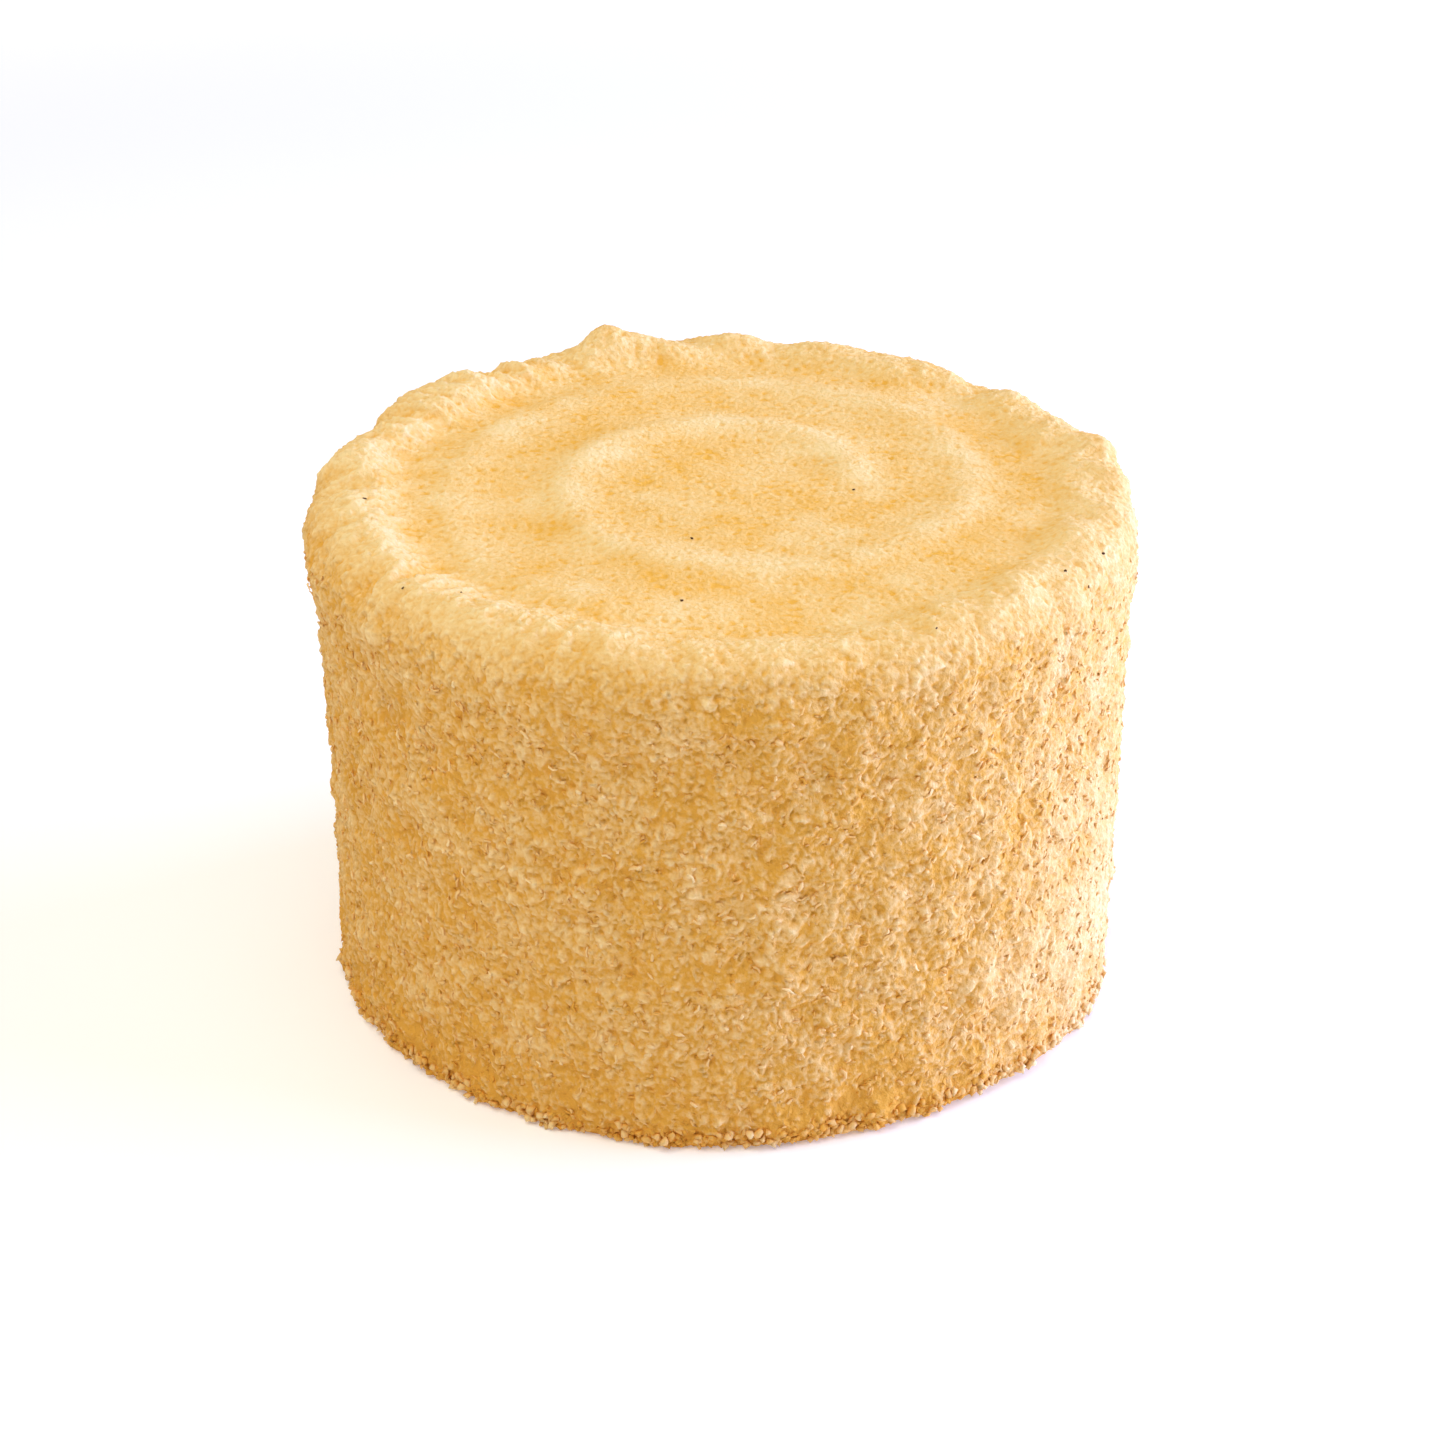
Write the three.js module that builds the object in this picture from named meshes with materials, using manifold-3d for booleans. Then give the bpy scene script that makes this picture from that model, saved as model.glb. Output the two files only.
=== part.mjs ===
// A tall round cheesecake, coated all over in fine sponge crumbs. The cake is one solid: a round
// body with a lip that overhangs a little, a broad craggy rim, a spiral drawn into the top, and a
// coat that is lumpy with clumps of crumbs. Millimetres, +Z up, -Y to the front. The origin is at
// the middle of the flat base.

import * as THREE from 'three';
import { ParametricGeometry } from 'three/addons/geometries/ParametricGeometry.js';
import { mergeVertices } from 'three/addons/utils/BufferGeometryUtils.js';
import Module from 'manifold-3d';

// Body
const MOULD_RADIUS = 60; // the ring the cake is set in, and the edge of the base
const COAT = 1.8; // thickness of the crumb coat on the side
const FOOT_ROUND = 4; // height of the coat's rounded foot
const NECK_HEIGHT = 60; // the straight side ends here and the lip begins
const LIP_HEIGHT = 73; // where the lip stands out furthest
const LIP_OUT = 1.1; // how far it overhangs the side
const LIP_LEAN = 0.7; // how much more of that on the left, and less on the right
const LIP_SPREAD = 6; // height over which the lean fades away

// Top
const TOP_HEIGHT = 79; // level of the top on the cake's axis
const TOP_SLOPE = 0.035; // rise of the top towards the back
const RIM_RISE = 1.25; // crest of the rim over the level of the top
const CREST_RADIUS = 55.5;
const VALLEY_RADIUS = 47.5; // the hollow between the spiral and the rim
const VALLEY_DEPTH = 0.3;

// Spiral ridge on the top, opening out anticlockwise as seen from above
const SWIRL_CENTRE = { x: 2.4, y: 1.4 };
const SWIRL_START_RADIUS = 17.5;
const SWIRL_PITCH = 17.6; // growth of its radius in a turn
const SWIRL_START = -0.15; // angle of its inner end, in radians
const SWIRL_END = 11.0; // and of its outer end
const SWIRL_FADE = 0.5; // angle over which an end dies away
const SWIRL_RISE = 0.85; // height at its inner end
const SWIRL_RISE_END = 0.4; // and at its outer end
const SWIRL_INNER_WIDTH = 4.6; // from the crest inwards to where the ridge has nearly gone
const SWIRL_OUTER_WIDTH = 3.0; // and outwards, where it is steeper

// Unevenness of the coat: depth and wavelength
const WAVINESS = { depth: 0.35, wavelength: 46, seed: 3 };
const CRAGS = { depth: 0.45, wavelength: 11, seed: 29 };
const WAVE_COUNT = 24; // plane waves that make up one kind of unevenness
const CRAG_SPREAD = 7; // how far the crags reach from the crest of the rim
const CRAG_FRONT = 0.35; // share of their depth that is left at the front, where the rim is softer

// Single lumps and gaps on the rim: angle in degrees from +X, distance from the axis, rise and reach
const RIM_MARKS = [
  { angle: 110, radius: 59.5, rise: 2.6, reach: 4 }, // dab pulled up at the back
  { angle: 144, radius: 59, rise: 2.2, reach: 10 }, // high stretch on the left of the back
  { angle: 172, radius: 60, rise: 1.1, reach: 9 }, // and on the left
  { angle: 45, radius: 58.5, rise: -1.6, reach: 9 }, // dip before the right-hand crag
  { angle: 15, radius: 61, rise: 2.2, reach: 4.5 }, // right-hand crag
  { angle: 15, radius: 53, rise: -1.0, reach: 3 }, // gap behind that crag
  { angle: 158, radius: 60, rise: -1.0, reach: 3 }, // gaps between the crags on the left
  { angle: 182, radius: 60, rise: -0.6, reach: 3 },
];

// Clumps of crumbs: a bump at each corner of the surface, lower on the finer crumbs of the top
const CLUMP_DEPTH = 1.2;
const CLUMP_DEPTH_TOP = 0.35;
const CLUMP_BLEND = 5; // half the width over which the one gives way to the other
const CLUMP_SEED = 17;
const CENTRE_RADIUS = 44; // where the corners crowd together on the axis, the bumps die away

// Fineness of the surface
const ROWS = 67; // steps from the middle of the base round to the middle of the top
const SEGMENTS = 120; // steps round the cake
const MERGE_DISTANCE = 1e-4; // corners nearer than this are one
const UNDERSIDE = 2; // depth made below the base and then cut away flat

const SIDE_RADIUS = MOULD_RADIUS + COAT;
const LIP_RADIUS = SIDE_RADIUS + LIP_OUT;
const CREST_HEIGHT = TOP_HEIGHT + RIM_RISE;
const VALLEY_HEIGHT = TOP_HEIGHT - VALLEY_DEPTH;
const FULL_TURN = 2 * Math.PI;

const wasm = await Module();
wasm.setup();

// A repeatable stream of numbers between 0 and 1.
function drawFrom(seed) {
  const multiplier = 48271;
  const modulus = 2147483647;
  let state = seed;
  return () => {
    state = (state * multiplier) % modulus;
    return state / modulus;
  };
}

// Smooth unevenness in space: plane waves of one wavelength that cross in many directions.
function unevenness({ depth, wavelength, seed }) {
  const draw = drawFrom(seed);
  const waves = [];
  for (let count = 0; count < WAVE_COUNT; count += 1) {
    const up = 2 * draw() - 1;
    const turn = FULL_TURN * draw();
    const level = Math.sqrt(1 - up * up);
    const direction = new THREE.Vector3(level * Math.cos(turn), level * Math.sin(turn), up);
    waves.push({ number: direction.multiplyScalar(FULL_TURN / wavelength), phase: FULL_TURN * draw() });
  }
  const scale = depth * Math.sqrt(2 / WAVE_COUNT);
  return (place) => {
    let sum = 0;
    for (const wave of waves) {
      sum += Math.sin(wave.number.dot(place) + wave.phase);
    }
    return scale * sum;
  };
}

const waviness = unevenness(WAVINESS);
const crags = unevenness(CRAGS);

// A hump of height 1 that dies away with distance.
function hump(distance, reach) {
  return Math.exp(-((distance / reach) ** 2));
}

// Half of the cake's section, from the middle of the base out, up the side and in to the axis.
function halfSection() {
  const lipBend = (LIP_HEIGHT - NECK_HEIGHT) / 2;
  const rimBend = (CREST_RADIUS - VALLEY_RADIUS) / 2;
  const section = new THREE.Path();
  section.moveTo(0, -UNDERSIDE);
  section.lineTo(MOULD_RADIUS, -UNDERSIDE);
  section.lineTo(MOULD_RADIUS, 0);
  section.quadraticCurveTo(SIDE_RADIUS, 0, SIDE_RADIUS, FOOT_ROUND);
  section.lineTo(SIDE_RADIUS, NECK_HEIGHT);
  section.bezierCurveTo(
    SIDE_RADIUS, NECK_HEIGHT + lipBend,
    LIP_RADIUS, LIP_HEIGHT - lipBend,
    LIP_RADIUS, LIP_HEIGHT,
  );
  section.quadraticCurveTo(LIP_RADIUS, CREST_HEIGHT, CREST_RADIUS, CREST_HEIGHT);
  section.bezierCurveTo(
    CREST_RADIUS - rimBend, CREST_HEIGHT,
    VALLEY_RADIUS + rimBend, VALLEY_HEIGHT,
    VALLEY_RADIUS, VALLEY_HEIGHT,
  );
  section.lineTo(0, TOP_HEIGHT);
  return section;
}

// Height of the spiral ridge at a place on the top.
function swirlAt(place) {
  const acrossX = place.x - SWIRL_CENTRE.x;
  const acrossY = place.y - SWIRL_CENTRE.y;
  const radius = Math.hypot(acrossX, acrossY);
  const firstAngle = Math.atan2(acrossY, acrossX);
  let height = 0;
  for (let angle = firstAngle; angle < SWIRL_END; angle += FULL_TURN) {
    const fromStart = THREE.MathUtils.smoothstep(angle, SWIRL_START, SWIRL_START + SWIRL_FADE);
    const fromEnd = 1 - THREE.MathUtils.smoothstep(angle, SWIRL_END - SWIRL_FADE, SWIRL_END);
    const rise = THREE.MathUtils.mapLinear(angle, SWIRL_START, SWIRL_END, SWIRL_RISE, SWIRL_RISE_END);
    const out = radius - (SWIRL_START_RADIUS + (SWIRL_PITCH * angle) / FULL_TURN);
    const width = out < 0 ? SWIRL_INNER_WIDTH : SWIRL_OUTER_WIDTH;
    height += rise * fromStart * fromEnd * hump(out, width);
  }
  return height;
}

// Where a lump or gap of the rim sits on the crest.
function markPlace({ angle, radius }) {
  const turn = THREE.MathUtils.degToRad(angle);
  return new THREE.Vector3(radius * Math.cos(turn), radius * Math.sin(turn), CREST_HEIGHT);
}

const rimMarks = RIM_MARKS.map((mark) => ({ ...mark, place: markPlace(mark) }));

// How far the coat stands out of the smooth section, square to it.
function reliefAt(place, radius) {
  const fromCrest = Math.hypot(radius - CREST_RADIUS, place.z - CREST_HEIGHT);
  const craggy = THREE.MathUtils.lerp(CRAG_FRONT, 1, THREE.MathUtils.smoothstep(place.y, -CREST_RADIUS, 0));
  let relief = waviness(place) + crags(place) * craggy * hump(fromCrest, CRAG_SPREAD);
  for (const mark of rimMarks) {
    relief += mark.rise * hump(place.distanceTo(mark.place), mark.reach);
  }
  if (place.z > LIP_HEIGHT) {
    relief += swirlAt(place);
  }
  return relief;
}

const section = halfSection();

// The place on the coat, and the direction out of it, at a share of the section and of a turn.
function coatAt(sectionShare, turnShare) {
  const point = section.getPoint(sectionShare);
  const along = section.getTangent(sectionShare);
  const turn = FULL_TURN * (turnShare % 1);
  const lean = -LIP_LEAN * Math.cos(turn) * hump(point.y - LIP_HEIGHT, LIP_SPREAD);
  const level = point.x > MERGE_DISTANCE ? along.y : 0;
  const outward = new THREE.Vector3(level * Math.cos(turn), level * Math.sin(turn), -along.x);
  const radius = point.x + lean * Math.min(1, point.x / CREST_RADIUS);
  const place = new THREE.Vector3(radius * Math.cos(turn), radius * Math.sin(turn), point.y);
  place.addScaledVector(outward, reliefAt(place, radius));
  place.z += TOP_SLOPE * place.y * THREE.MathUtils.smoothstep(place.z, NECK_HEIGHT / 2, TOP_HEIGHT);
  return { place, outward };
}

// A closed geometry as a solid: corners that meet become one, and faces that shrank to a line go.
function toSolid(geometry) {
  geometry.deleteAttribute('normal');
  geometry.deleteAttribute('uv');
  const merged = mergeVertices(geometry, MERGE_DISTANCE);
  const corners = merged.index.array;
  const triangles = [];
  for (let first = 0; first < corners.length; first += 3) {
    const [a, b, c] = corners.slice(first, first + 3);
    if (a !== b && b !== c && c !== a) {
      triangles.push(a, b, c);
    }
  }
  const mesh = new wasm.Mesh({
    numProp: 3,
    vertProperties: new Float32Array(merged.attributes.position.array),
    triVerts: new Uint32Array(triangles),
  });
  return new wasm.Manifold(mesh);
}

// A solid as a geometry that a mesh can show.
function toGeometry(solid) {
  const mesh = solid.getMesh();
  const geometry = new THREE.BufferGeometry();
  geometry.setAttribute('position', new THREE.Float32BufferAttribute(mesh.vertProperties, 3));
  geometry.setIndex(Array.from(mesh.triVerts));
  geometry.computeVertexNormals();
  return geometry;
}

// The coated body, still with its underside. Each row of corners is turned half a step on from the
// row before, so that the faces are even triangles.
function body() {
  const draw = drawFrom(CLUMP_SEED);
  const bumps = Array.from({ length: SEGMENTS * (ROWS + 1) }, () => draw() - 0.5);
  const skin = (turnShare, sectionShare, target) => {
    const row = Math.round(sectionShare * ROWS);
    const segment = Math.round(turnShare * SEGMENTS) % SEGMENTS;
    const { place, outward } = coatAt(sectionShare, (segment + row / 2) / SEGMENTS);
    const radius = Math.hypot(place.x, place.y);
    const onSide = THREE.MathUtils.smoothstep(radius - VALLEY_RADIUS, -CLUMP_BLEND, CLUMP_BLEND);
    const depth = THREE.MathUtils.lerp(CLUMP_DEPTH_TOP, CLUMP_DEPTH, onSide);
    const bump = bumps[row * SEGMENTS + segment] * THREE.MathUtils.smoothstep(radius, 0, CENTRE_RADIUS);
    target.copy(place.addScaledVector(outward, depth * bump));
  };
  return toSolid(new ParametricGeometry(skin, SEGMENTS, ROWS));
}

// What lies below the flat base.
function belowBase() {
  const width = 3 * SIDE_RADIUS;
  const depth = 3 * UNDERSIDE;
  return toSolid(new THREE.BoxGeometry(width, width, depth).translate(0, 0, -depth / 2));
}

function cake() {
  const geometry = toGeometry(body().subtract(belowBase()));
  const crumbCoat = new THREE.MeshStandardMaterial({ color: 0xf3cf8f, roughness: 0.9, metalness: 0 });
  const mesh = new THREE.Mesh(geometry, crumbCoat);
  mesh.name = 'cake';
  return mesh;
}

const cheesecake = new THREE.Group();
cheesecake.add(cake());

export default cheesecake;
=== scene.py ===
import itertools
import math

import bpy
import numpy as np
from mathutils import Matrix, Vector


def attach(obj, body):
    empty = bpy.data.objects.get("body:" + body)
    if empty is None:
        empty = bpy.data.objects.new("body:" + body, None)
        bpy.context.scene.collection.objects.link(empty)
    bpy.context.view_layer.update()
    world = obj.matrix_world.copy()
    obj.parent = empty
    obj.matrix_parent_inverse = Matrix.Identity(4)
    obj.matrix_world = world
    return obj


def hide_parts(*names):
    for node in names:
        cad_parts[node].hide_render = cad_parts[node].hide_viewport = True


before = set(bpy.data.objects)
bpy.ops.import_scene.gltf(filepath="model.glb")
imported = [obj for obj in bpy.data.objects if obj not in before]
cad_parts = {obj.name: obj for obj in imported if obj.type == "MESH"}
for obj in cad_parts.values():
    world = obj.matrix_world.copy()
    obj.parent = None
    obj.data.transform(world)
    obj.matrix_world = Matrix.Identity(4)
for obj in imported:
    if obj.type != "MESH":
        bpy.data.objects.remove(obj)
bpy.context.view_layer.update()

# The cake: layers of cheese set in a ring mould and covered all over in sieved sponge crumbs. The
# coat is pressed on by hand, so it overhangs at the lip, is craggy at the rim and keeps the spiral
# that a palette knife left on the top. It is one piece and stands on its flat base.
MM = 0.001
FULL_TURN = 2 * math.pi
MOULD_RADIUS = 60 * MM
COAT = 1.8 * MM
FOOT_ROUND = 4 * MM
NECK_HEIGHT = 60 * MM
LIP_HEIGHT = 73 * MM
LIP_OUT = 1.1 * MM
LIP_LEAN = 0.7 * MM
LIP_SPREAD = 6 * MM
TOP_HEIGHT = 79 * MM
TOP_SLOPE = 0.035
RIM_RISE = 1.25 * MM
CREST_RADIUS = 55.5 * MM
VALLEY_RADIUS = 47.5 * MM
VALLEY_DEPTH = 0.3 * MM
SIDE_RADIUS = MOULD_RADIUS + COAT
LIP_RADIUS = SIDE_RADIUS + LIP_OUT
CREST_HEIGHT = TOP_HEIGHT + RIM_RISE
VALLEY_HEIGHT = TOP_HEIGHT - VALLEY_DEPTH

SWIRL_CENTRE = (2.4 * MM, 1.4 * MM)
SWIRL_START_RADIUS = 17.5 * MM
SWIRL_PITCH = 17.6 * MM
SWIRL_START = -0.15
SWIRL_END = 11.0
SWIRL_FADE = 0.5
SWIRL_RISE = 0.85 * MM
SWIRL_RISE_END = 0.4 * MM
SWIRL_INNER_WIDTH = 4.6 * MM
SWIRL_OUTER_WIDTH = 3.0 * MM

WAVE_COUNT = 24
CRAG_SPREAD = 7 * MM
CRAG_FRONT = 0.35
# Lumps and gaps on the rim: angle in degrees from +X, distance from the axis, rise and reach.
RIM_MARKS = [
    (110, 59.5 * MM, 2.6 * MM, 4 * MM),
    (144, 59 * MM, 2.2 * MM, 10 * MM),
    (172, 60 * MM, 1.1 * MM, 9 * MM),
    (45, 58.5 * MM, -1.6 * MM, 9 * MM),
    (15, 61 * MM, 2.2 * MM, 4.5 * MM),
    (15, 53 * MM, -1.0 * MM, 3 * MM),
    (158, 60 * MM, -1.0 * MM, 3 * MM),
    (182, 60 * MM, -0.6 * MM, 3 * MM),
]


DRAW_FACTOR = 48271
DRAW_MODULUS = 2147483647


def drawn(seed, count):
    """Repeatable numbers between 0 and 1."""
    numbers = []
    state = seed
    for _ in range(count):
        state = state * DRAW_FACTOR % DRAW_MODULUS
        numbers.append(state / DRAW_MODULUS)
    return np.array(numbers)


def unevenness(depth, wavelength, seed, waves=WAVE_COUNT):
    """Plane waves of one wavelength that cross in many directions, as a height at each place."""
    draws = drawn(seed, 3 * waves).reshape(waves, 3)
    up = 2 * draws[:, 0] - 1
    turn = FULL_TURN * draws[:, 1]
    phase = FULL_TURN * draws[:, 2]
    level = np.sqrt(1 - up**2)
    direction = np.stack([level * np.cos(turn), level * np.sin(turn), up])
    scale = depth * math.sqrt(2 / waves)
    return lambda places: scale * np.sin(places @ direction * FULL_TURN / wavelength + phase).sum(1)


waviness = unevenness(depth=0.35 * MM, wavelength=46 * MM, seed=3)
crags = unevenness(depth=0.45 * MM, wavelength=11 * MM, seed=29)


def hump(distance, reach):
    """1 at no distance, dying away over the reach."""
    return np.exp(-((distance / reach) ** 2))


def ease(value, start, end):
    """A smooth step from 0 at the start to 1 at the end."""
    share = np.clip((value - start) / (end - start), 0, 1)
    return share * share * (3 - 2 * share)


def bezier(corners, steps):
    """Points along a Bezier curve after its first corner."""
    share = np.linspace(0, 1, steps + 1)[1:, None]
    points = [np.array([corner]) for corner in corners]
    while len(points) > 1:
        points = [before + (after - before) * share for before, after in zip(points, points[1:])]
    return points[0]


# Half of the section, from the edge of the base out and up the side and in to the axis.
lip_bend = (LIP_HEIGHT - NECK_HEIGHT) / 2
rim_bend = (CREST_RADIUS - VALLEY_RADIUS) / 2
SECTION_CURVES = {
    "foot": [(MOULD_RADIUS, 0), (SIDE_RADIUS, 0), (SIDE_RADIUS, FOOT_ROUND)],
    "side": [(SIDE_RADIUS, FOOT_ROUND), (SIDE_RADIUS, NECK_HEIGHT)],
    "lip": [
        (SIDE_RADIUS, NECK_HEIGHT),
        (SIDE_RADIUS, NECK_HEIGHT + lip_bend),
        (LIP_RADIUS, LIP_HEIGHT - lip_bend),
        (LIP_RADIUS, LIP_HEIGHT),
    ],
    "shoulder": [(LIP_RADIUS, LIP_HEIGHT), (LIP_RADIUS, CREST_HEIGHT), (CREST_RADIUS, CREST_HEIGHT)],
    "rim": [
        (CREST_RADIUS, CREST_HEIGHT),
        (CREST_RADIUS - rim_bend, CREST_HEIGHT),
        (VALLEY_RADIUS + rim_bend, VALLEY_HEIGHT),
        (VALLEY_RADIUS, VALLEY_HEIGHT),
    ],
    "top": [(VALLEY_RADIUS, VALLEY_HEIGHT), (0, TOP_HEIGHT)],
}
CURVE_STEPS = 60
SECTION = np.concatenate(
    [[SECTION_CURVES["foot"][0]]] + [bezier(corners, CURVE_STEPS) for corners in SECTION_CURVES.values()]
)
ALONG = np.concatenate([[0], np.cumsum(np.linalg.norm(np.diff(SECTION, axis=0), axis=1))])
SECTION_RUN = np.gradient(SECTION, ALONG, axis=0)
CURVE_END = {name: ALONG[CURVE_STEPS * (count + 1)] for count, name in enumerate(SECTION_CURVES)}


def swirl_at(places):
    """Height of the spiral ridge, which slopes gently on its inner side and steeply on its outer one."""
    across = places[:, :2] - SWIRL_CENTRE
    radius = np.hypot(across[:, 0], across[:, 1])
    angle = np.arctan2(across[:, 1], across[:, 0])
    height = np.zeros(len(places))
    while angle.min() < SWIRL_END:
        ends = ease(angle, SWIRL_START, SWIRL_START + SWIRL_FADE)
        ends = ends * (1 - ease(angle, SWIRL_END - SWIRL_FADE, SWIRL_END))
        out = radius - (SWIRL_START_RADIUS + SWIRL_PITCH * angle / FULL_TURN)
        rise = np.interp(angle, [SWIRL_START, SWIRL_END], [SWIRL_RISE, SWIRL_RISE_END])
        width = np.where(out < 0, SWIRL_INNER_WIDTH, SWIRL_OUTER_WIDTH)
        height += rise * ends * hump(out, width)
        angle = angle + FULL_TURN
    return height


def relief_at(places, radius):
    """How far the coat stands out of the smooth section, square to it."""
    from_crest = np.hypot(radius - CREST_RADIUS, places[:, 2] - CREST_HEIGHT)
    craggy = CRAG_FRONT + (1 - CRAG_FRONT) * ease(places[:, 1], -CREST_RADIUS, 0)
    relief = waviness(places) + crags(places) * craggy * hump(from_crest, CRAG_SPREAD)
    for angle, mark_radius, rise, reach in RIM_MARKS:
        turn = math.radians(angle)
        mark = (mark_radius * math.cos(turn), mark_radius * math.sin(turn), CREST_HEIGHT)
        relief += rise * hump(np.linalg.norm(places - mark, axis=1), reach)
    return relief + np.where(places[:, 2] > LIP_HEIGHT, swirl_at(places), 0)


def coat_at(along, turn):
    """Places on the coat, and the directions out of it, at lengths along the section and turns."""
    radius = np.interp(along, ALONG, SECTION[:, 0])
    height = np.interp(along, ALONG, SECTION[:, 1])
    run_out = np.interp(along, ALONG, SECTION_RUN[:, 0])
    run_up = np.interp(along, ALONG, SECTION_RUN[:, 1])
    lean = -LIP_LEAN * np.cos(turn) * hump(height - LIP_HEIGHT, LIP_SPREAD)
    radius = radius + lean * np.minimum(1, radius / CREST_RADIUS)
    around = np.stack([np.cos(turn), np.sin(turn)], 1)
    places = np.concatenate([radius[:, None] * around, height[:, None]], 1)
    outward = np.concatenate([run_up[:, None] * around, -run_out[:, None]], 1)
    outward /= np.linalg.norm(outward, axis=1)[:, None]
    places = places + outward * relief_at(places, radius)[:, None]
    rise = ease(places[:, 2], NECK_HEIGHT / 2, TOP_HEIGHT)
    places[:, 2] += TOP_SLOPE * places[:, 1] * rise
    return places, outward


# The fine relief of the coat: crumbs and smaller morsels packed side by side, with holes, pits and
# pores between them, and soft drifts and lumps on the rim. It is deep on the side, softer on the rim
# and shallow on the smoothed top.
CLUMP_DEPTH = 0.24 * MM
NET_DEPTH = 0.20 * MM
PIT_DEPTH = 0.36 * MM
PORE_DEPTH = 0.2 * MM
GRAIN_DEPTH = 0.10 * MM
CRUMB_SIZE = 1.65 * MM
CRUMB_DEPTH = 0.29 * MM
CRUMB_STEP = 0.26 * MM
MORSEL_SIZE = 1.0 * MM
MORSEL_DEPTH = 0.22 * MM
MORSEL_STEP = 0.17 * MM
CRUMB_BEND = 0.45 * MM
LUMP_DEPTH = 0.22 * MM
DRIFT_DEPTH = 0.55 * MM
DRIFT_STRETCH = 0.35
DRIFT_MIDDLE = 0.8
RIM_SPREAD = 8 * MM
LOOSE_REACH = 6 * MM
TOP_RUGGEDNESS = 0.35
SIDE_RUGGEDNESS = 0.15
RIM_PACKING = 0.55
LEFT_RIM_PACKING = 0.4
RIGHT_RIM_PACKING = 0.25
LEFT_LUMP_LOSS = 0.7
PIT_CLOSING = 0.5
# Where each kind of hollow starts and is in full, as heights of its waves.
HOLE_EDGE = (0.5, 1.7)
GAP_EDGE = (0.5, 1.9)
PIT_EDGE = (0.3, 1.8)
PORE_EDGE = (0.2, 1.8)
# Where the left, the right and the back start and are in full, as cosines and sines of the turn.
LEFT_EDGE = (-0.1, 0.9)
RIGHT_EDGE = (0.45, 0.95)
BACK_EDGE = (-0.2, 0.6)
# The tone of the plain coat, and how much each feature adds to it or takes from it. The tone taken
# off in pits, pores and holes, in the gaps between crumbs, morsels and lumps, between the drifts, on
# the side and towards the foot is painted shade; the tone added on the rim, the left rim and the
# right side is painted light.
PLAIN_TONE = 0.73
PIT_SHADE = 0.4
PORE_SHADE = 0.2
DRIFT_SHADE = 0.25
LUMP_GAP_SHADE = 0.15
RIM_PAINTED_LIGHT = 0.2
LEFT_RIM_PAINTED_LIGHT = 0.15
SIDE_PAINTED_SHADE = 0.27
SIDE_PIT_SHADE_CUT = 0.32
SIDE_PORE_SHADE_CUT = 0.15
HOLE_SHADE = 0.12
BLOTCH_TONE = 0.06
FOOT_PAINTED_SHADE = 0.3
FOOT_SHADE_END = 19 * MM
RIGHT_PAINTED_LIGHT = 0.03
LOW_RIGHT_PAINTED_LIGHT = 0.3
LOW_RIGHT_EDGE = (8 * MM, 45 * MM)
RIGHT_SHADE_CUT = 0.5
CRUMB_GAP_SHADE = 0.42
CRUMB_NUMBER_TONE = 0.22
MORSEL_GAP_SHADE = 0.3
PACKED_MEAN = 0.6
SWIRL_TONE = 0.45
SWIRL_MEAN = 0.4
TOP_BLOTCH_TONE = 0.1
TOP_LUMP_TONE = 0.06
TOP_TONE = 0.08
clumps = unevenness(depth=1.0, wavelength=8 * MM, seed=53, waves=40)
net = unevenness(depth=1.0, wavelength=3.2 * MM, seed=59, waves=60)
pits = unevenness(depth=1.0, wavelength=1.75 * MM, seed=67, waves=60)
pores = unevenness(depth=1.0, wavelength=1.15 * MM, seed=73, waves=60)
grain = unevenness(depth=1.0, wavelength=1.5 * MM, seed=61, waves=60)
lumps = unevenness(depth=1.0, wavelength=6.5 * MM, seed=47, waves=60)
drifts = unevenness(depth=1.0, wavelength=7 * MM, seed=41, waves=40)
blotches = unevenness(depth=1.0, wavelength=14 * MM, seed=71, waves=40)


def looseness(along):
    """How loose the coat is: 1 on the side, less on the rim and 0 on the top."""
    return 1 - ease(along, CURVE_END["lip"], CURVE_END["shoulder"] + LOOSE_REACH)


LATTICE_NUMBERS = 4096
LATTICE_MIX = (73856093, 19349663, 83492791)
CRUMB_SHOULDER = 0.5


def crumbled(places, size, seed):
    """Crumbs packed about a size apart.

    Gives 0 in the gap between two crumbs to 1 on a crumb, and a number of each crumb's own.
    """
    numbers = np.random.default_rng(seed).random((LATTICE_NUMBERS, 4))
    lattice = np.floor(places / size).astype(int)
    nearest = np.full(len(places), np.inf)
    second = nearest
    number = np.zeros(len(places))
    for step in itertools.product((-1, 0, 1), repeat=3):
        cell = lattice + step
        drawn_for_cell = numbers[cell @ LATTICE_MIX % LATTICE_NUMBERS]
        away = np.linalg.norm((cell + drawn_for_cell[:, :3]) * size - places, axis=1)
        closer = away < nearest
        second = np.where(closer, nearest, np.minimum(second, away))
        number = np.where(closer, drawn_for_cell[:, 3], number)
        nearest = np.minimum(nearest, away)
    return ease(second - nearest, 0, CRUMB_SHOULDER * size), number


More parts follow.
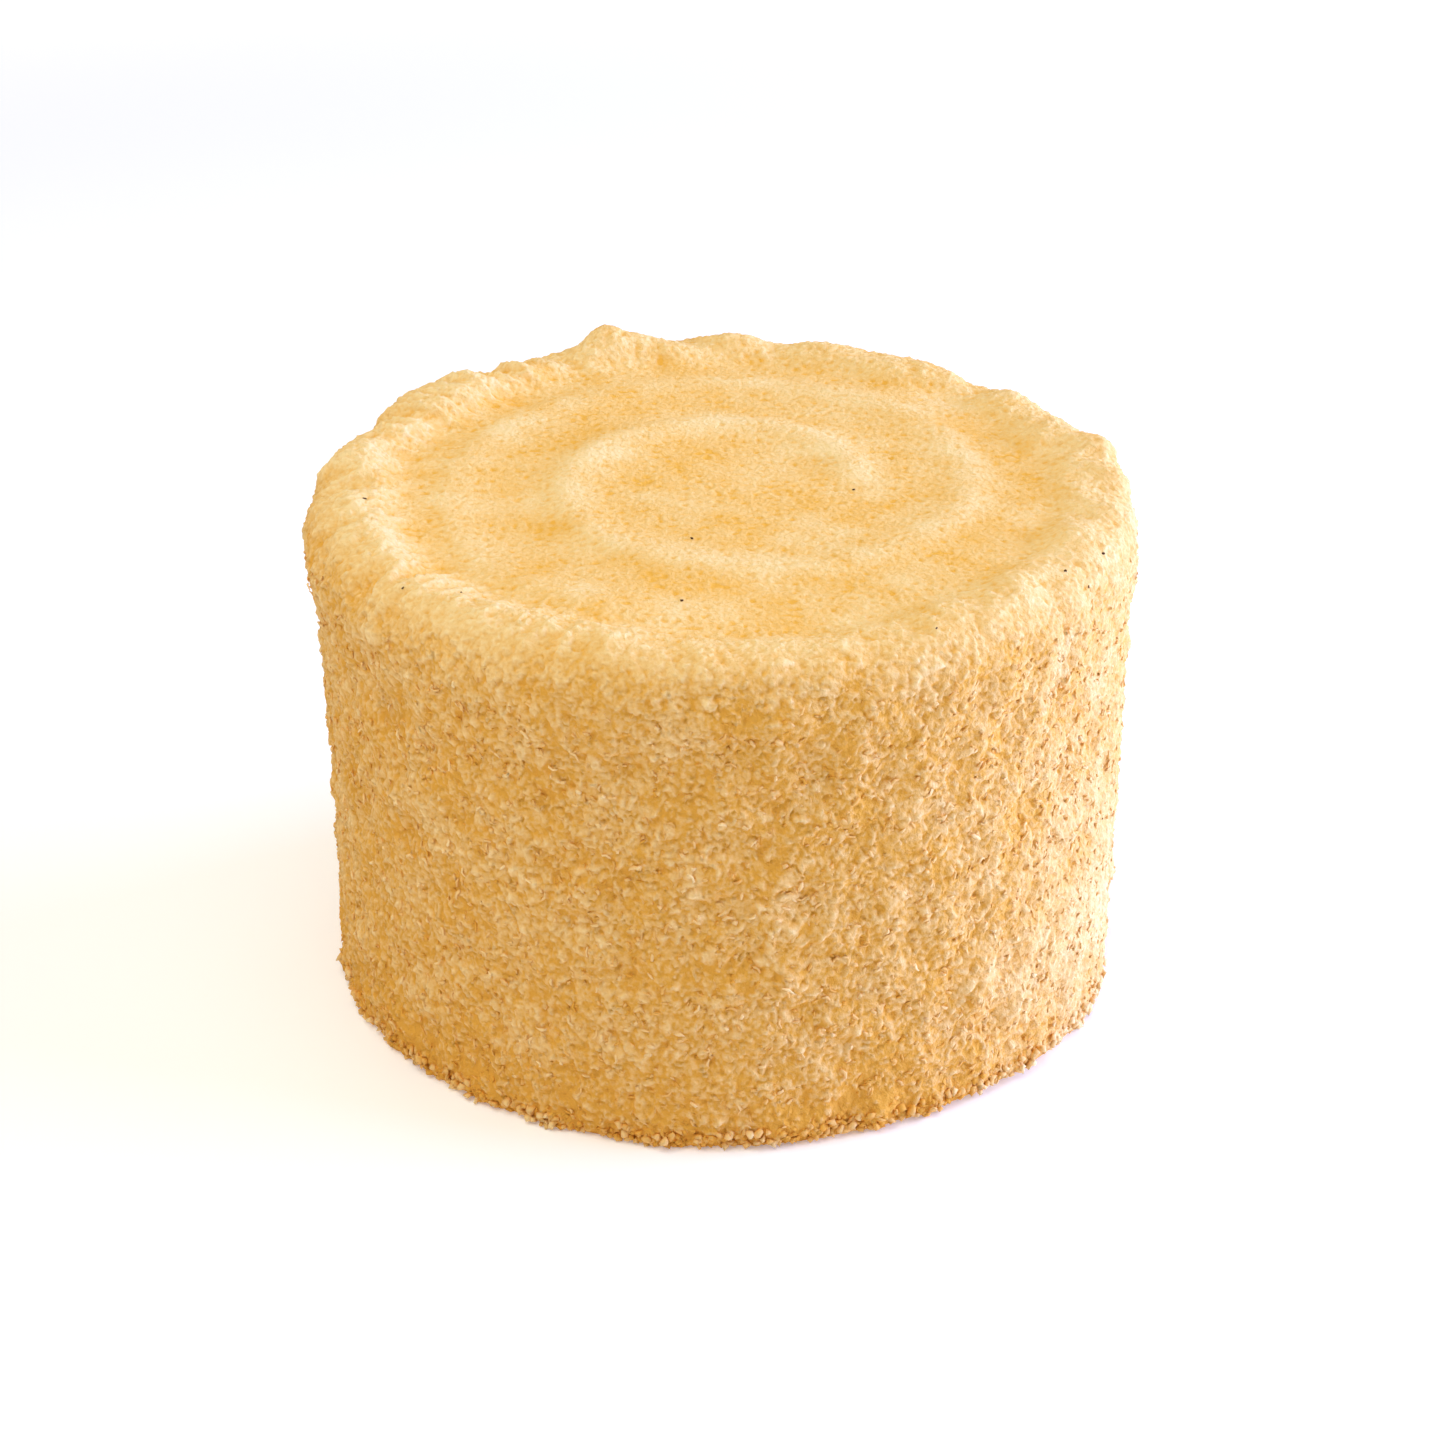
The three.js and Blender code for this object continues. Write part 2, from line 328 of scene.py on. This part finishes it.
def fine_relief(places, along, turn):
    """Height of the coat's fine relief, and its tone from golden hollows at 0 to cream crests at 1, with
    painted shade in the hollows, on the side and at the foot and painted light on the rim and the right
    side.
    """
    loose = looseness(along)
    on_rim = hump(along - CURVE_END["shoulder"], RIM_SPREAD)
    on_left = ease(-np.cos(turn), *LEFT_EDGE)
    on_right = ease(np.cos(turn), *RIGHT_EDGE) * (1 - ease(np.sin(turn), *BACK_EDGE))
    unrolled = np.stack(
        [SIDE_RADIUS * np.cos(turn), SIDE_RADIUS * np.sin(turn), DRIFT_STRETCH * along], 1
    )
    holes = ease(np.abs(net(places)), *HOLE_EDGE)
    gaps = ease(np.abs(lumps(places)), *GAP_EDGE)
    pitted = ease(pits(places), PIT_EDGE[0] + PIT_CLOSING * (1 - loose), PIT_EDGE[1])
    pored = ease(pores(places), *PORE_EDGE)
    drifted = on_rim * on_left * (DRIFT_MIDDLE - np.abs(drifts(unrolled)))
    lumpy = on_rim * (1 - LEFT_LUMP_LOSS * on_left) * gaps
    bends = [net(places[:, order]) for order in ([0, 1, 2], [1, 2, 0], [2, 0, 1])]
    bent = places + CRUMB_BEND * np.stack(bends, 1)
    crumb, crumb_number = crumbled(bent, CRUMB_SIZE, seed=11)
    morsel, morsel_number = crumbled(bent, MORSEL_SIZE, seed=12)
    rim_packing = RIM_PACKING + LEFT_RIM_PACKING * on_left - RIGHT_RIM_PACKING * on_right
    packed = np.maximum(loose, rim_packing * on_rim)
    rough = TOP_RUGGEDNESS + SIDE_RUGGEDNESS * loose

    relief = DRIFT_DEPTH * drifted - LUMP_DEPTH * lumpy
    relief = relief + loose * (CLUMP_DEPTH * clumps(places) - NET_DEPTH * holes)
    relief = relief + packed * (CRUMB_DEPTH * (crumb - 1) + CRUMB_STEP * (crumb_number - 0.5))
    relief = relief + packed * (MORSEL_DEPTH * (morsel - 1) + MORSEL_STEP * (morsel_number - 0.5))
    relief = relief + rough * (GRAIN_DEPTH * grain(places) - PIT_DEPTH * pitted - PORE_DEPTH * pored)

    # Painted shade: darker in pits and pores, between the drifts of the left rim and in the gaps between
    # the rim's lumps.
    tone = PLAIN_TONE - PIT_SHADE * pitted - PORE_SHADE * pored
    tone = tone + DRIFT_SHADE * drifted - LUMP_GAP_SHADE * lumpy
    # Painted light: the rim is paler, the left rim paler still.
    tone = tone + (RIM_PAINTED_LIGHT + LEFT_RIM_PAINTED_LIGHT * on_left) * on_rim
    # Painted shade: the side is darker and its holes darker still, its pits and pores less dark than on
    # the top; its blotches differ at random.
    side_shade = SIDE_PIT_SHADE_CUT * pitted + SIDE_PORE_SHADE_CUT * pored - HOLE_SHADE * holes - SIDE_PAINTED_SHADE
    tone = tone + loose * (side_shade + BLOTCH_TONE * blotches(places))
    # Painted shade: darker towards the foot.
    tone = tone - FOOT_PAINTED_SHADE * (1 - ease(along, 0, FOOT_SHADE_END))
    # Painted light: the right side is paler, most of all low down, and the shade painted between its
    # crumbs is cut there.
    low = 1 - ease(along, *LOW_RIGHT_EDGE)
    tone = tone + loose * on_right * (RIGHT_PAINTED_LIGHT + LOW_RIGHT_PAINTED_LIGHT * low)
    crumb_shade_and_tone_share = packed * (1 - RIGHT_SHADE_CUT * on_right)
    # Painted shade: darker in the gaps between crumbs and between morsels; each crumb's own number shifts
    # its tone at random.
    by_crumb = CRUMB_GAP_SHADE * (crumb - PACKED_MEAN) + CRUMB_NUMBER_TONE * (crumb_number - 0.5)
    tone = tone + crumb_shade_and_tone_share * (by_crumb + MORSEL_GAP_SHADE * (morsel - PACKED_MEAN))
    on_top = 1 - ease(np.hypot(places[:, 0], places[:, 1]), VALLEY_RADIUS, CREST_RADIUS)
    on_top = on_top * (places[:, 2] > LIP_HEIGHT)
    by_swirl = SWIRL_TONE * (swirl_at(places) / SWIRL_RISE - SWIRL_MEAN)
    by_swirl = by_swirl + TOP_BLOTCH_TONE * blotches(places) + TOP_LUMP_TONE * lumps(places) - TOP_TONE
    tone = tone + on_top * by_swirl
    return relief, tone


def band(lower, upper):
    """Triangles between two rings of corners, the upper with as many, half as many or one."""
    after = np.roll(lower, -1)
    if len(upper) == 1:
        return np.stack([lower, after, np.broadcast_to(upper, lower.shape)], 1)
    if len(lower) == 1:
        return np.stack([np.broadcast_to(lower, upper.shape), np.roll(upper, -1), upper], 1)
    if len(lower) == len(upper):
        return np.concatenate(
            [np.stack([lower, after, upper], 1), np.stack([upper, after, np.roll(upper, -1)], 1)]
        )
    even, odd, next_even = lower[::2], lower[1::2], np.roll(lower[::2], -1)
    next_upper = np.roll(upper, -1)
    return np.concatenate(
        [
            np.stack([even, odd, upper], 1),
            np.stack([upper, odd, next_upper], 1),
            np.stack([odd, next_even, next_upper], 1),
        ]
    )


RING_DROP = 0.7


def skin(rows, segments, step):
    """Rings of places on the coat at lengths along the section, fewer in a ring towards the axis."""
    along, turn, rings = [], [], []
    count, shift, total = segments, 0.0, 0
    for row in rows:
        wanted = FULL_TURN * np.interp(row, ALONG, SECTION[:, 0]) / step(row)
        if wanted < RING_DROP * count and count % 2 == 0:
            count //= 2
        elif len(rings):
            shift += 0.5 / count
        along.append(np.full(count, row))
        turn.append(FULL_TURN * (np.arange(count) / count + shift))
        rings.append(total + np.arange(count))
        total += count
    return np.concatenate(along), np.concatenate(turn), rings


def turned_map(along, turn, triangles):
    """The bake map of a turned skin: the turn across and the length along the section up."""
    across = (turn / FULL_TURN % 1)[triangles]
    wrapped = np.ptp(across, axis=1) > 0.5
    across[wrapped] += across[wrapped] < 0.5
    up = (along - along.min()) / np.ptp(along)
    return np.stack([across / across.max(), up[triangles]], 2)


COAT_SEGMENTS = 960
COAT_STEP = 0.405 * MM
CORE_STEP = 2.4 * MM
LAP = 1.5 * MM
LAP_SINK = 1.0 * MM
HIDDEN_TONE = 0.5


def coat_mesh(rows, first, last, below, above):
    """One closed stretch of the coat over the rows: its corners, triangles, marks and map.

    It comes out from under the stretch before it at first and dips under the one after it at last. The
    fans that close it meet on the axis, at the heights below and above.
    """

    def step(row):
        """Wanted distance between corners: short where the coat shows and long inside."""
        return COAT_STEP if row <= last + 2 * LAP else CORE_STEP

    along, turn, rings = skin(rows, COAT_SEGMENTS, step)
    places, outward = coat_at(along, turn)
    relief, tone = fine_relief(places, along, turn)
    relief = relief * ease(along, 0, FOOT_ROUND / 3)
    relief = relief - LAP_SINK * (1 - ease(along, first, first + LAP))
    relief = relief - LAP_SINK * ease(along, last + LAP, last + 2 * LAP)
    corners = places + outward * relief[:, None]
    corners[:, 2] = np.maximum(corners[:, 2], 0)
    corners = np.concatenate([corners, [(0, 0, below), (0, 0, above)]])
    ladder = [np.array([len(along)])] + rings + [np.array([len(along) + 1])]
    triangles = np.concatenate([band(lower, upper) for lower, upper in zip(ladder, ladder[1:])])
    ends = [rows[0] - CORE_STEP, rows[-1] + CORE_STEP]
    on_map = turned_map(np.append(along, ends), np.append(turn, [math.pi, math.pi]), triangles)
    # The tone carries painted shade and painted light; the looseness sets the side's deeper gold, which
    # is painted shade.
    marks = {
        "tone": np.append(tone, [HIDDEN_TONE, HIDDEN_TONE]),
        "loose": np.append(looseness(along), [0, 0]),
    }
    return corners, triangles, marks, on_map


class Shade:
    """An output of a shader node. Sums, differences and products of these add Math nodes."""

    def __init__(self, tree, socket=None):
        self.tree = tree
        self.socket = socket

    def node(self, kind, settings=None, inputs=None, output=0):
        """One output of a new node: its settings are set first, then its sockets set or linked."""
        made = self.tree.nodes.new(kind)
        for name, setting in (settings or {}).items():
            setattr(made, name, setting)
        for name, value in (inputs or {}).items():
            if isinstance(value, Shade):
                self.tree.links.new(value.socket, made.inputs[name])
            else:
                made.inputs[name].default_value = value
        return Shade(self.tree, made.outputs[output] if made.outputs else None)

    def math(self, operation, first, second):
        return self.node("ShaderNodeMath", {"operation": operation}, {0: first, 1: second})

    def __add__(self, other):
        return self.math("ADD", self, other)

    def __sub__(self, other):
        return self.math("SUBTRACT", self, other)

    def __rsub__(self, other):
        return self.math("SUBTRACT", other, self)

    def __mul__(self, other):
        return self.math("MULTIPLY", self, other)

    __radd__ = __add__
    __rmul__ = __mul__

    def blend(self, share, first, second):
        """A colour from the first of two at a share of 0 to the second at 1."""
        settings = {"data_type": "RGBA", "clamp_factor": True}
        sockets = {"Factor": share, 6: first, 7: second}
        return self.node("ShaderNodeMix", settings, sockets, output=2)


CRUMB_ROUGHNESS = 0.92
CRUMB_GLOSS = 0.25
GRAIN_DETAIL = 2.0


def crumb_finish(name, gold, shaded_side_gold, cream, grain_size=0.0, grain_depth=0.0, mottle=0.0):
    """Matt sponge crumb with a grain, creamy where the mesh's tone is 1 and golden where it is 0.

    The gold is deeper where the crumbs are loose, on the side, as painted shade; the golden low tone of
    the hollows is painted shade too.
    """
    material = bpy.data.materials.new(name)
    material.use_nodes = True
    tree = material.node_tree
    tree.nodes.clear()
    shade = Shade(tree)
    tone = shade.node("ShaderNodeAttribute", {"attribute_name": "tone"}, output="Fac")
    loose = shade.node("ShaderNodeAttribute", {"attribute_name": "loose"}, output="Fac")
    finish = {"Roughness": CRUMB_ROUGHNESS, "Specular IOR Level": CRUMB_GLOSS}
    if grain_size:
        place = shade.node("ShaderNodeTexCoord", output="Object")
        grains = shade.node(
            "ShaderNodeTexNoise",
            inputs={"Vector": place, "Scale": 1 / grain_size, "Detail": GRAIN_DETAIL},
        )
        tone = tone + (grains - 0.5) * mottle
        finish["Normal"] = shade.node(
            "ShaderNodeBump", inputs={"Height": grains, "Distance": grain_depth}
        )
    # Painted shade: the deeper gold of the side, where the coat is loose.
    hollows = shade.blend(loose, (*gold, 1), (*shaded_side_gold, 1))
    finish["Base Color"] = shade.blend(tone, hollows, (*cream, 1))
    surface = shade.node("ShaderNodeBsdfPrincipled", inputs=finish)
    shade.node("ShaderNodeOutputMaterial", inputs={"Surface": surface})
    return material


def mesh_piece(name, corners, triangles, marks, on_map, finish):
    """A smooth piece from arrays of corners and triangles, with marks at them, a map and a finish."""
    mesh = bpy.data.meshes.new(name)
    mesh.vertices.add(len(corners))
    mesh.vertices.foreach_set("co", corners.astype(np.float32).ravel())
    mesh.loops.add(triangles.size)
    mesh.loops.foreach_set("vertex_index", triangles.astype(np.int32).ravel())
    mesh.polygons.add(len(triangles))
    mesh.polygons.foreach_set("loop_start", np.arange(0, triangles.size, 3, dtype=np.int32))
    mesh.update(calc_edges=True)
    mesh.shade_smooth()
    for mark, values in marks.items():
        layer = mesh.attributes.new(mark, "FLOAT", "POINT")
        layer.data.foreach_set("value", values.astype(np.float32))
    mesh.uv_layers.new(name="OFBake").uv.foreach_set("vector", on_map.astype(np.float32).ravel())
    mesh.materials.append(finish)
    piece = bpy.data.objects.new(name, mesh)
    bpy.context.scene.collection.objects.link(piece)
    return piece


# The golds of the hollows and the cream of the crests; the side's deeper gold is painted shade.
TOP_GOLD = (0.91, 0.48, 0.073)
SIDE_SHADE_GOLD = (0.79, 0.39, 0.055)
COAT_CREAM = (0.99, 0.735, 0.37)
coat_finish = crumb_finish(
    "crumb_coat", TOP_GOLD, SIDE_SHADE_GOLD, COAT_CREAM, grain_size=0.6 * MM, grain_depth=0.35 * MM, mottle=0.85
)
UPPER_START = 36 * MM
lower_rows = np.arange(0, UPPER_START + 2 * LAP, COAT_STEP)
core_rows = np.arange(lower_rows[-1] + CORE_STEP, ALONG[-1] - CORE_STEP / 2, CORE_STEP)
body = mesh_piece(
    "crumb_coated_cake",
    *coat_mesh(np.concatenate([lower_rows, core_rows]), -LAP, UPPER_START, 0, TOP_HEIGHT - LAP_SINK),
    coat_finish,
)
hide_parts("cake")
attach(body, "root")

# The upper coat: the same crumbs pressed on round the upper half of the side, after the lower half,
# which it laps over. It reaches up over the lip.
CAP_START = CURVE_END["lip"] + 1 * MM
upper_coat = mesh_piece(
    "upper_coat",
    *coat_mesh(
        np.arange(UPPER_START, CAP_START + 2 * LAP, COAT_STEP),
        UPPER_START,
        CAP_START,
        UPPER_START,
        LIP_HEIGHT,
    ),
    coat_finish,
)
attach(upper_coat, "root")

# The sieved top: finer crumbs shaken over the top and the rim last and smoothed with the knife. They
# make a cap that laps over the coat of the side at the lip.
cap = mesh_piece(
    "sieved_top",
    *coat_mesh(
        np.arange(CAP_START, ALONG[-1] - COAT_STEP / 2, COAT_STEP),
        CAP_START,
        ALONG[-1],
        LIP_HEIGHT,
        TOP_HEIGHT,
    ),
    coat_finish,
)
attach(cap, "root")

# Loose crumbs of the side: bits of sponge torn through their pores, so some are thin curled walls,
# some flat flakes and some chunks. They stick to the cream all round the side and over the lip.
SPINDLE_BLUNTNESS = 0.7
RAGGEDNESS = 0.14
LOOSE_TONE_SPREAD = 0.12
LOOSE_ROOT_SHADE = 0.55
MAP_FILL = 0.8


def spindle(ring_count, sides):
    """A closed spindle of unit length and width along X: its corners and triangles."""
    corners, rings = [(-0.5, 0, 0)], [np.array([0])]
    for ring in range(1, ring_count + 1):
        angle = math.pi * ring / (ring_count + 1)
        width = 0.5 * math.sin(angle) ** SPINDLE_BLUNTNESS
        rings.append(len(corners) + np.arange(sides))
        for side in range(sides):
            round_turn = FULL_TURN * (side + ring / 2) / sides
            corners.append(
                (-0.5 * math.cos(angle), width * math.cos(round_turn), width * math.sin(round_turn))
            )
    rings.append(np.array([len(corners)]))
    corners.append((0.5, 0, 0))
    triangles = np.concatenate([band(lower, upper) for lower, upper in zip(rings, rings[1:])])
    return np.array(corners), triangles


def strewn(rng, spacing, first, last):
    """Lengths along the section and turns of places strewn evenly, one to a square of the spacing."""
    along, turn = [], []
    for row in np.arange(first + spacing / 2, last, spacing):
        count = max(1, round(FULL_TURN * np.interp(row, ALONG, SECTION[:, 0]) / spacing))
        along.append(row + spacing * (rng.random(count) - 0.5))
        turn.append(FULL_TURN * (np.arange(count) + rng.random(count)) / count)
    return np.concatenate(along), np.concatenate(turn)


def crumb_piece(name, rng, form, along, turn, sizes, curl, tilt, lift, finish):
    """Crumbs of one form as one mesh. sizes are the least and most length, width and thickness."""
    template, faces = form
    count = len(along)
    places, outward = coat_at(along, turn)
    deep, bed_tone = fine_relief(places, along, turn)
    low, high = np.array(sizes)
    size = low + (high - low) * rng.random((count, 3))
    local = template[None] * size[:, None, :]
    local = local + RAGGEDNESS * size[:, None, 1:2] * rng.normal(size=local.shape)
    bend = rng.choice([-1, 1], count) * (curl[0] + (curl[1] - curl[0]) * rng.random(count))
    bend = (bend / size[:, 0])[:, None]
    angle = bend * local[:, :, 0]
    ahead = np.sin(angle) / bend - local[:, :, 1] * np.sin(angle)
    aside = (1 - np.cos(angle)) / bend + local[:, :, 1] * np.cos(angle)
    aside = aside - aside.mean(1)[:, None]
    heading = rng.normal(size=(count, 3))
    heading -= outward * (heading * outward).sum(1)[:, None]
    heading /= np.linalg.norm(heading, axis=1)[:, None]
    beside = np.cross(outward, heading)
    lean = (tilt * rng.normal(size=count))[:, None]
    roll = (tilt * rng.normal(size=count))[:, None]
    ahead_axis = np.cos(lean) * heading + np.sin(lean) * outward
    up_axis = np.cos(lean) * outward - np.sin(lean) * heading
    beside_axis = np.cos(roll) * beside + np.sin(roll) * up_axis
    up_axis = np.cos(roll) * up_axis - np.sin(roll) * beside
    middle = places + outward * (deep + lift[0] + (lift[1] - lift[0]) * rng.random(count))[:, None]
    corners = (
        middle[:, None]
        + ahead[:, :, None] * ahead_axis[:, None]
        + aside[:, :, None] * beside_axis[:, None]
        + local[:, :, 2:] * up_axis[:, None]
    )
    below = np.minimum(corners[:, :, 2].min(1), 0)
    corners[:, :, 2] -= below[:, None]
    height = ((corners - places[:, None]) * outward[:, None]).sum(2)
    height = height - deep[:, None]
    # Each crumb differs in tone at random; painted shade makes it golden at its root and paler towards
    # its tip, and the looseness sets the side's deeper gold, painted shade too.
    tone = (bed_tone + LOOSE_TONE_SPREAD * rng.normal(size=count))[:, None]
    tone = tone + LOOSE_ROOT_SHADE * height / MM
    marks = {"tone": tone.ravel(), "loose": np.repeat(looseness(along), len(template))}
    triangles = faces[None] + len(template) * np.arange(count)[:, None, None]
    columns = math.ceil(math.sqrt(count))
    cell = np.stack([np.arange(count) % columns, np.arange(count) // columns], 1)
    spot = 0.5 + MAP_FILL * template[:, :2]
    on_map = (cell[:, None, None] + spot[faces][None]) / columns
    return mesh_piece(
        name, corners.reshape(-1, 3), triangles.reshape(-1, 3), marks, on_map, finish
    )


SIDE_CRUMBS = [
    # name, rings and sides of the form, spacing and least and most size in mm, curl, tilt, lift in mm
    ("crumb_curls", (3, 4), 1.8, ((1.2, 0.4, 0.32), (2.3, 0.55, 0.42)), (1.0, 2.8), 0.12, (-0.02, 0.10)),
    ("crumb_flakes", (2, 4), 1.5, ((0.9, 0.42, 0.3), (1.6, 0.65, 0.4)), (0.4, 1.6), 0.15, (-0.06, 0.06)),
    ("crumb_chunks", (2, 4), 1.5, ((0.65, 0.55, 0.35), (1.1, 0.8, 0.48)), (0.2, 0.8), 0.18, (-0.1, 0.04)),
]
CRUMB_FADE = 4.5 * MM
CRUMB_SHARE = 0.2
CRUMB_START = 1.0 * MM
CRUMB_SEED = 100
loose_finish = crumb_finish("loose_crumb", TOP_GOLD, SIDE_SHADE_GOLD, COAT_CREAM)
for kind, (name, shape, spacing, sizes, curl, tilt, lift) in enumerate(SIDE_CRUMBS):
    rng = np.random.default_rng(CRUMB_SEED + kind)
    along, turn = strewn(rng, spacing * MM, CRUMB_START, CURVE_END["lip"] + CRUMB_FADE)
    fading = ease(along, CURVE_END["lip"] - CRUMB_FADE, CURVE_END["lip"] + CRUMB_FADE)
    kept = rng.random(len(along)) > 1 - CRUMB_SHARE * (1 - fading)
    crumbs = crumb_piece(
        name, rng, spindle(*shape), along[kept], turn[kept], np.array(sizes) * MM, curl, tilt,
        np.array(lift) * MM, loose_finish,
    )
    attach(crumbs, "root")

# Crumbs round the foot: small knobs of sponge that hang on round the edge of the base, where the coat
# was pressed on last. They stand out unevenly just clear of what the cake rests on.
FOOT_SPACING = 0.9 * MM
FOOT_BAND = (0.7 * MM, 4.4 * MM)
FOOT_SIZES = np.array(((0.9, 0.8, 0.8), (1.9, 1.4, 1.3))) * MM
FOOT_LIFT = np.array((-0.4, 0.45)) * MM
FOOT_CURL = (0.1, 0.6)
FOOT_TILT = 0.4
FOOT_SEED = 200
LEAST_CLUSTER = -0.9
clusters = unevenness(depth=1.0, wavelength=7 * MM, seed=83)
rng = np.random.default_rng(FOOT_SEED)
along, turn = strewn(rng, FOOT_SPACING, *FOOT_BAND)
clustered = clusters(coat_at(along, turn)[0]) + rng.normal(size=len(along)) > LEAST_CLUSTER
knobs = crumb_piece(
    "foot_crumbs", rng, spindle(2, 4), along[clustered], turn[clustered], FOOT_SIZES, FOOT_CURL,
    FOOT_TILT, FOOT_LIFT, loose_finish,
)
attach(knobs, "root")

# Dark specks: a few tiny bits of browned crust that came through the sieve with the crumbs. They lie
# on the top and the rim, stuck to the coat.
SPECK_BROWN = (0.10, 0.045, 0.015)
# How far each speck lies to the right of the axis and behind it, in millimetres.
SPECKS = np.array([
    (19.4, -1.3),
    (-5.0, -19.0),
    (-6.3, -39.5),
    (-37.4, -38.5),
    (-53.9, -7.1),
    (-45.9, -36.3),
    (29.0, -50.4),
    (48.7, -31.7),
    (52.6, -32.1),
    (55.2, -23.8),
])
SPECK_SIZES = np.array(((0.35, 0.25, 0.25), (0.7, 0.45, 0.4))) * MM
SPECK_CURL = (0.1, 0.4)
SPECK_TILT = 0.1
SPECK_LIFT = (0.05 * MM, 0.1 * MM)
SPECK_SEED = 300
from_lip = ALONG >= CURVE_END["lip"]
speck_radius = MM * np.hypot(SPECKS[:, 0], SPECKS[:, 1])
speck_along = np.interp(-speck_radius, -SECTION[from_lip, 0], ALONG[from_lip])
speck_turn = np.arctan2(SPECKS[:, 1], SPECKS[:, 0])
speck_finish = crumb_finish("browned_crust", SPECK_BROWN, SPECK_BROWN, SPECK_BROWN)
specks = crumb_piece(
    "specks", np.random.default_rng(SPECK_SEED), spindle(2, 6), speck_along, speck_turn, SPECK_SIZES,
    SPECK_CURL, SPECK_TILT, SPECK_LIFT, speck_finish,
)
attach(specks, "root")

# The studio: a wide pale floor in an even white surround. A low broad lamp stands at the right, one
# hangs above, a weaker one at the front left and one over the floor behind. The camera is a little
# above the cake and looks down on its front.
FLOOR_SIZE = 40.0
FLOOR_WHITE = (0.93, 0.93, 0.93, 1)
FLOOR_ROUGHNESS = 0.8
NEAR_FLOOR = 0.45
FAR_FLOOR = 1.1
NEAR_GLOW = (0.19, 0.19, 0.2, 1)
FAR_GLOW = (0.82, 0.82, 0.8, 1)
SURROUND_LIGHT = (0.25, 0.245, 0.23, 1)
SURROUND_WHITE = (1, 1, 1, 1)
CAMERA_PLACE = (-0.9 * MM, -467.2 * MM, 271.0 * MM)
CAMERA_PITCH = math.radians(26.38)
PHOTO_SIDE = 1440
FOCAL_PIXELS = 3323
SENSOR = 36.0

half = FLOOR_SIZE / 2
floor_corners = [(-half, -half, 0), (half, -half, 0), (half, half, 0), (-half, half, 0)]
floor_mesh = bpy.data.meshes.new("floor")
floor_mesh.from_pydata(floor_corners, [], [(0, 1, 2, 3)])
floor = bpy.data.objects.new("floor", floor_mesh)
bpy.context.scene.collection.objects.link(floor)
floor_paint = bpy.data.materials.new("pale_floor")
floor_paint.use_nodes = True
floor_paint.node_tree.nodes.clear()
shade = Shade(floor_paint.node_tree)
place = shade.node("ShaderNodeTexCoord", output="Object")
distance = shade.node("ShaderNodeVectorMath", {"operation": "LENGTH"}, {0: place}, output="Value")
far = shade.node(
    "ShaderNodeMapRange",
    {"interpolation_type": "SMOOTHSTEP"},
    {"Value": distance, "From Min": NEAR_FLOOR, "From Max": FAR_FLOOR},
)
floor_surface = shade.node(
    "ShaderNodeBsdfPrincipled",
    inputs={
        "Base Color": FLOOR_WHITE,
        "Roughness": FLOOR_ROUGHNESS,
        "Emission Color": shade.blend(far, NEAR_GLOW, FAR_GLOW),
        "Emission Strength": 1.0,
    },
)
shade.node("ShaderNodeOutputMaterial", inputs={"Surface": floor_surface})
floor_mesh.materials.append(floor_paint)

world = bpy.data.worlds.new("studio")
world.use_nodes = True
world.node_tree.nodes.clear()
shade = Shade(world.node_tree)
seen = shade.node("ShaderNodeLightPath", output="Is Camera Ray")
surround_colour = shade.blend(seen, SURROUND_LIGHT, SURROUND_WHITE)
surround = shade.node("ShaderNodeBackground", inputs={"Color": surround_colour})
shade.node("ShaderNodeOutputWorld", inputs={"Surface": surround})
bpy.context.scene.world = world


def soft_lamp(name, place, aim, width, height, power, colour):
    """A broad soft lamp at a place, turned to its aim."""
    data = bpy.data.lights.new(name, "AREA")
    data.shape = "RECTANGLE"
    data.size = width
    data.size_y = height
    data.energy = power
    data.color = colour
    lamp = bpy.data.objects.new(name, data)
    lamp.location = place
    lamp.rotation_mode = "QUATERNION"
    lamp.rotation_quaternion = (Vector(aim) - lamp.location).to_track_quat("-Z", "Y")
    bpy.context.scene.collection.objects.link(lamp)


CAKE_MIDDLE = (0, 0, TOP_HEIGHT / 2)
soft_lamp(
    "key_lamp", place=(0.89, 0.1, 0.2), aim=CAKE_MIDDLE,
    width=0.9, height=0.4, power=9.3, colour=(0.9, 1.1, 2.2),
)
soft_lamp(
    "top_lamp", place=(-0.2, -0.25, 1.1), aim=CAKE_MIDDLE,
    width=1.2, height=1.2, power=6.8, colour=(1.0, 0.97, 0.84),
)
soft_lamp(
    "left_lamp", place=(-0.38, -0.38, 1.0), aim=CAKE_MIDDLE,
    width=0.8, height=0.8, power=3.2, colour=(1.0, 0.97, 0.87),
)
soft_lamp(
    "backdrop_lamp", place=(0.0, 1.2, 1.0), aim=(0.0, 1.2, 0.0),
    width=1.6, height=1.0, power=3.0, colour=(1.0, 0.98, 0.95),
)

camera_data = bpy.data.cameras.new("camera")
camera_data.sensor_width = SENSOR
camera_data.lens = SENSOR * FOCAL_PIXELS / PHOTO_SIDE
camera = bpy.data.objects.new("camera", camera_data)
camera.location = CAMERA_PLACE
camera.rotation_euler = (math.pi / 2 - CAMERA_PITCH, 0, 0)
bpy.context.scene.collection.objects.link(camera)
bpy.context.scene.camera = camera
bpy.context.scene.view_settings.view_transform = "Standard"
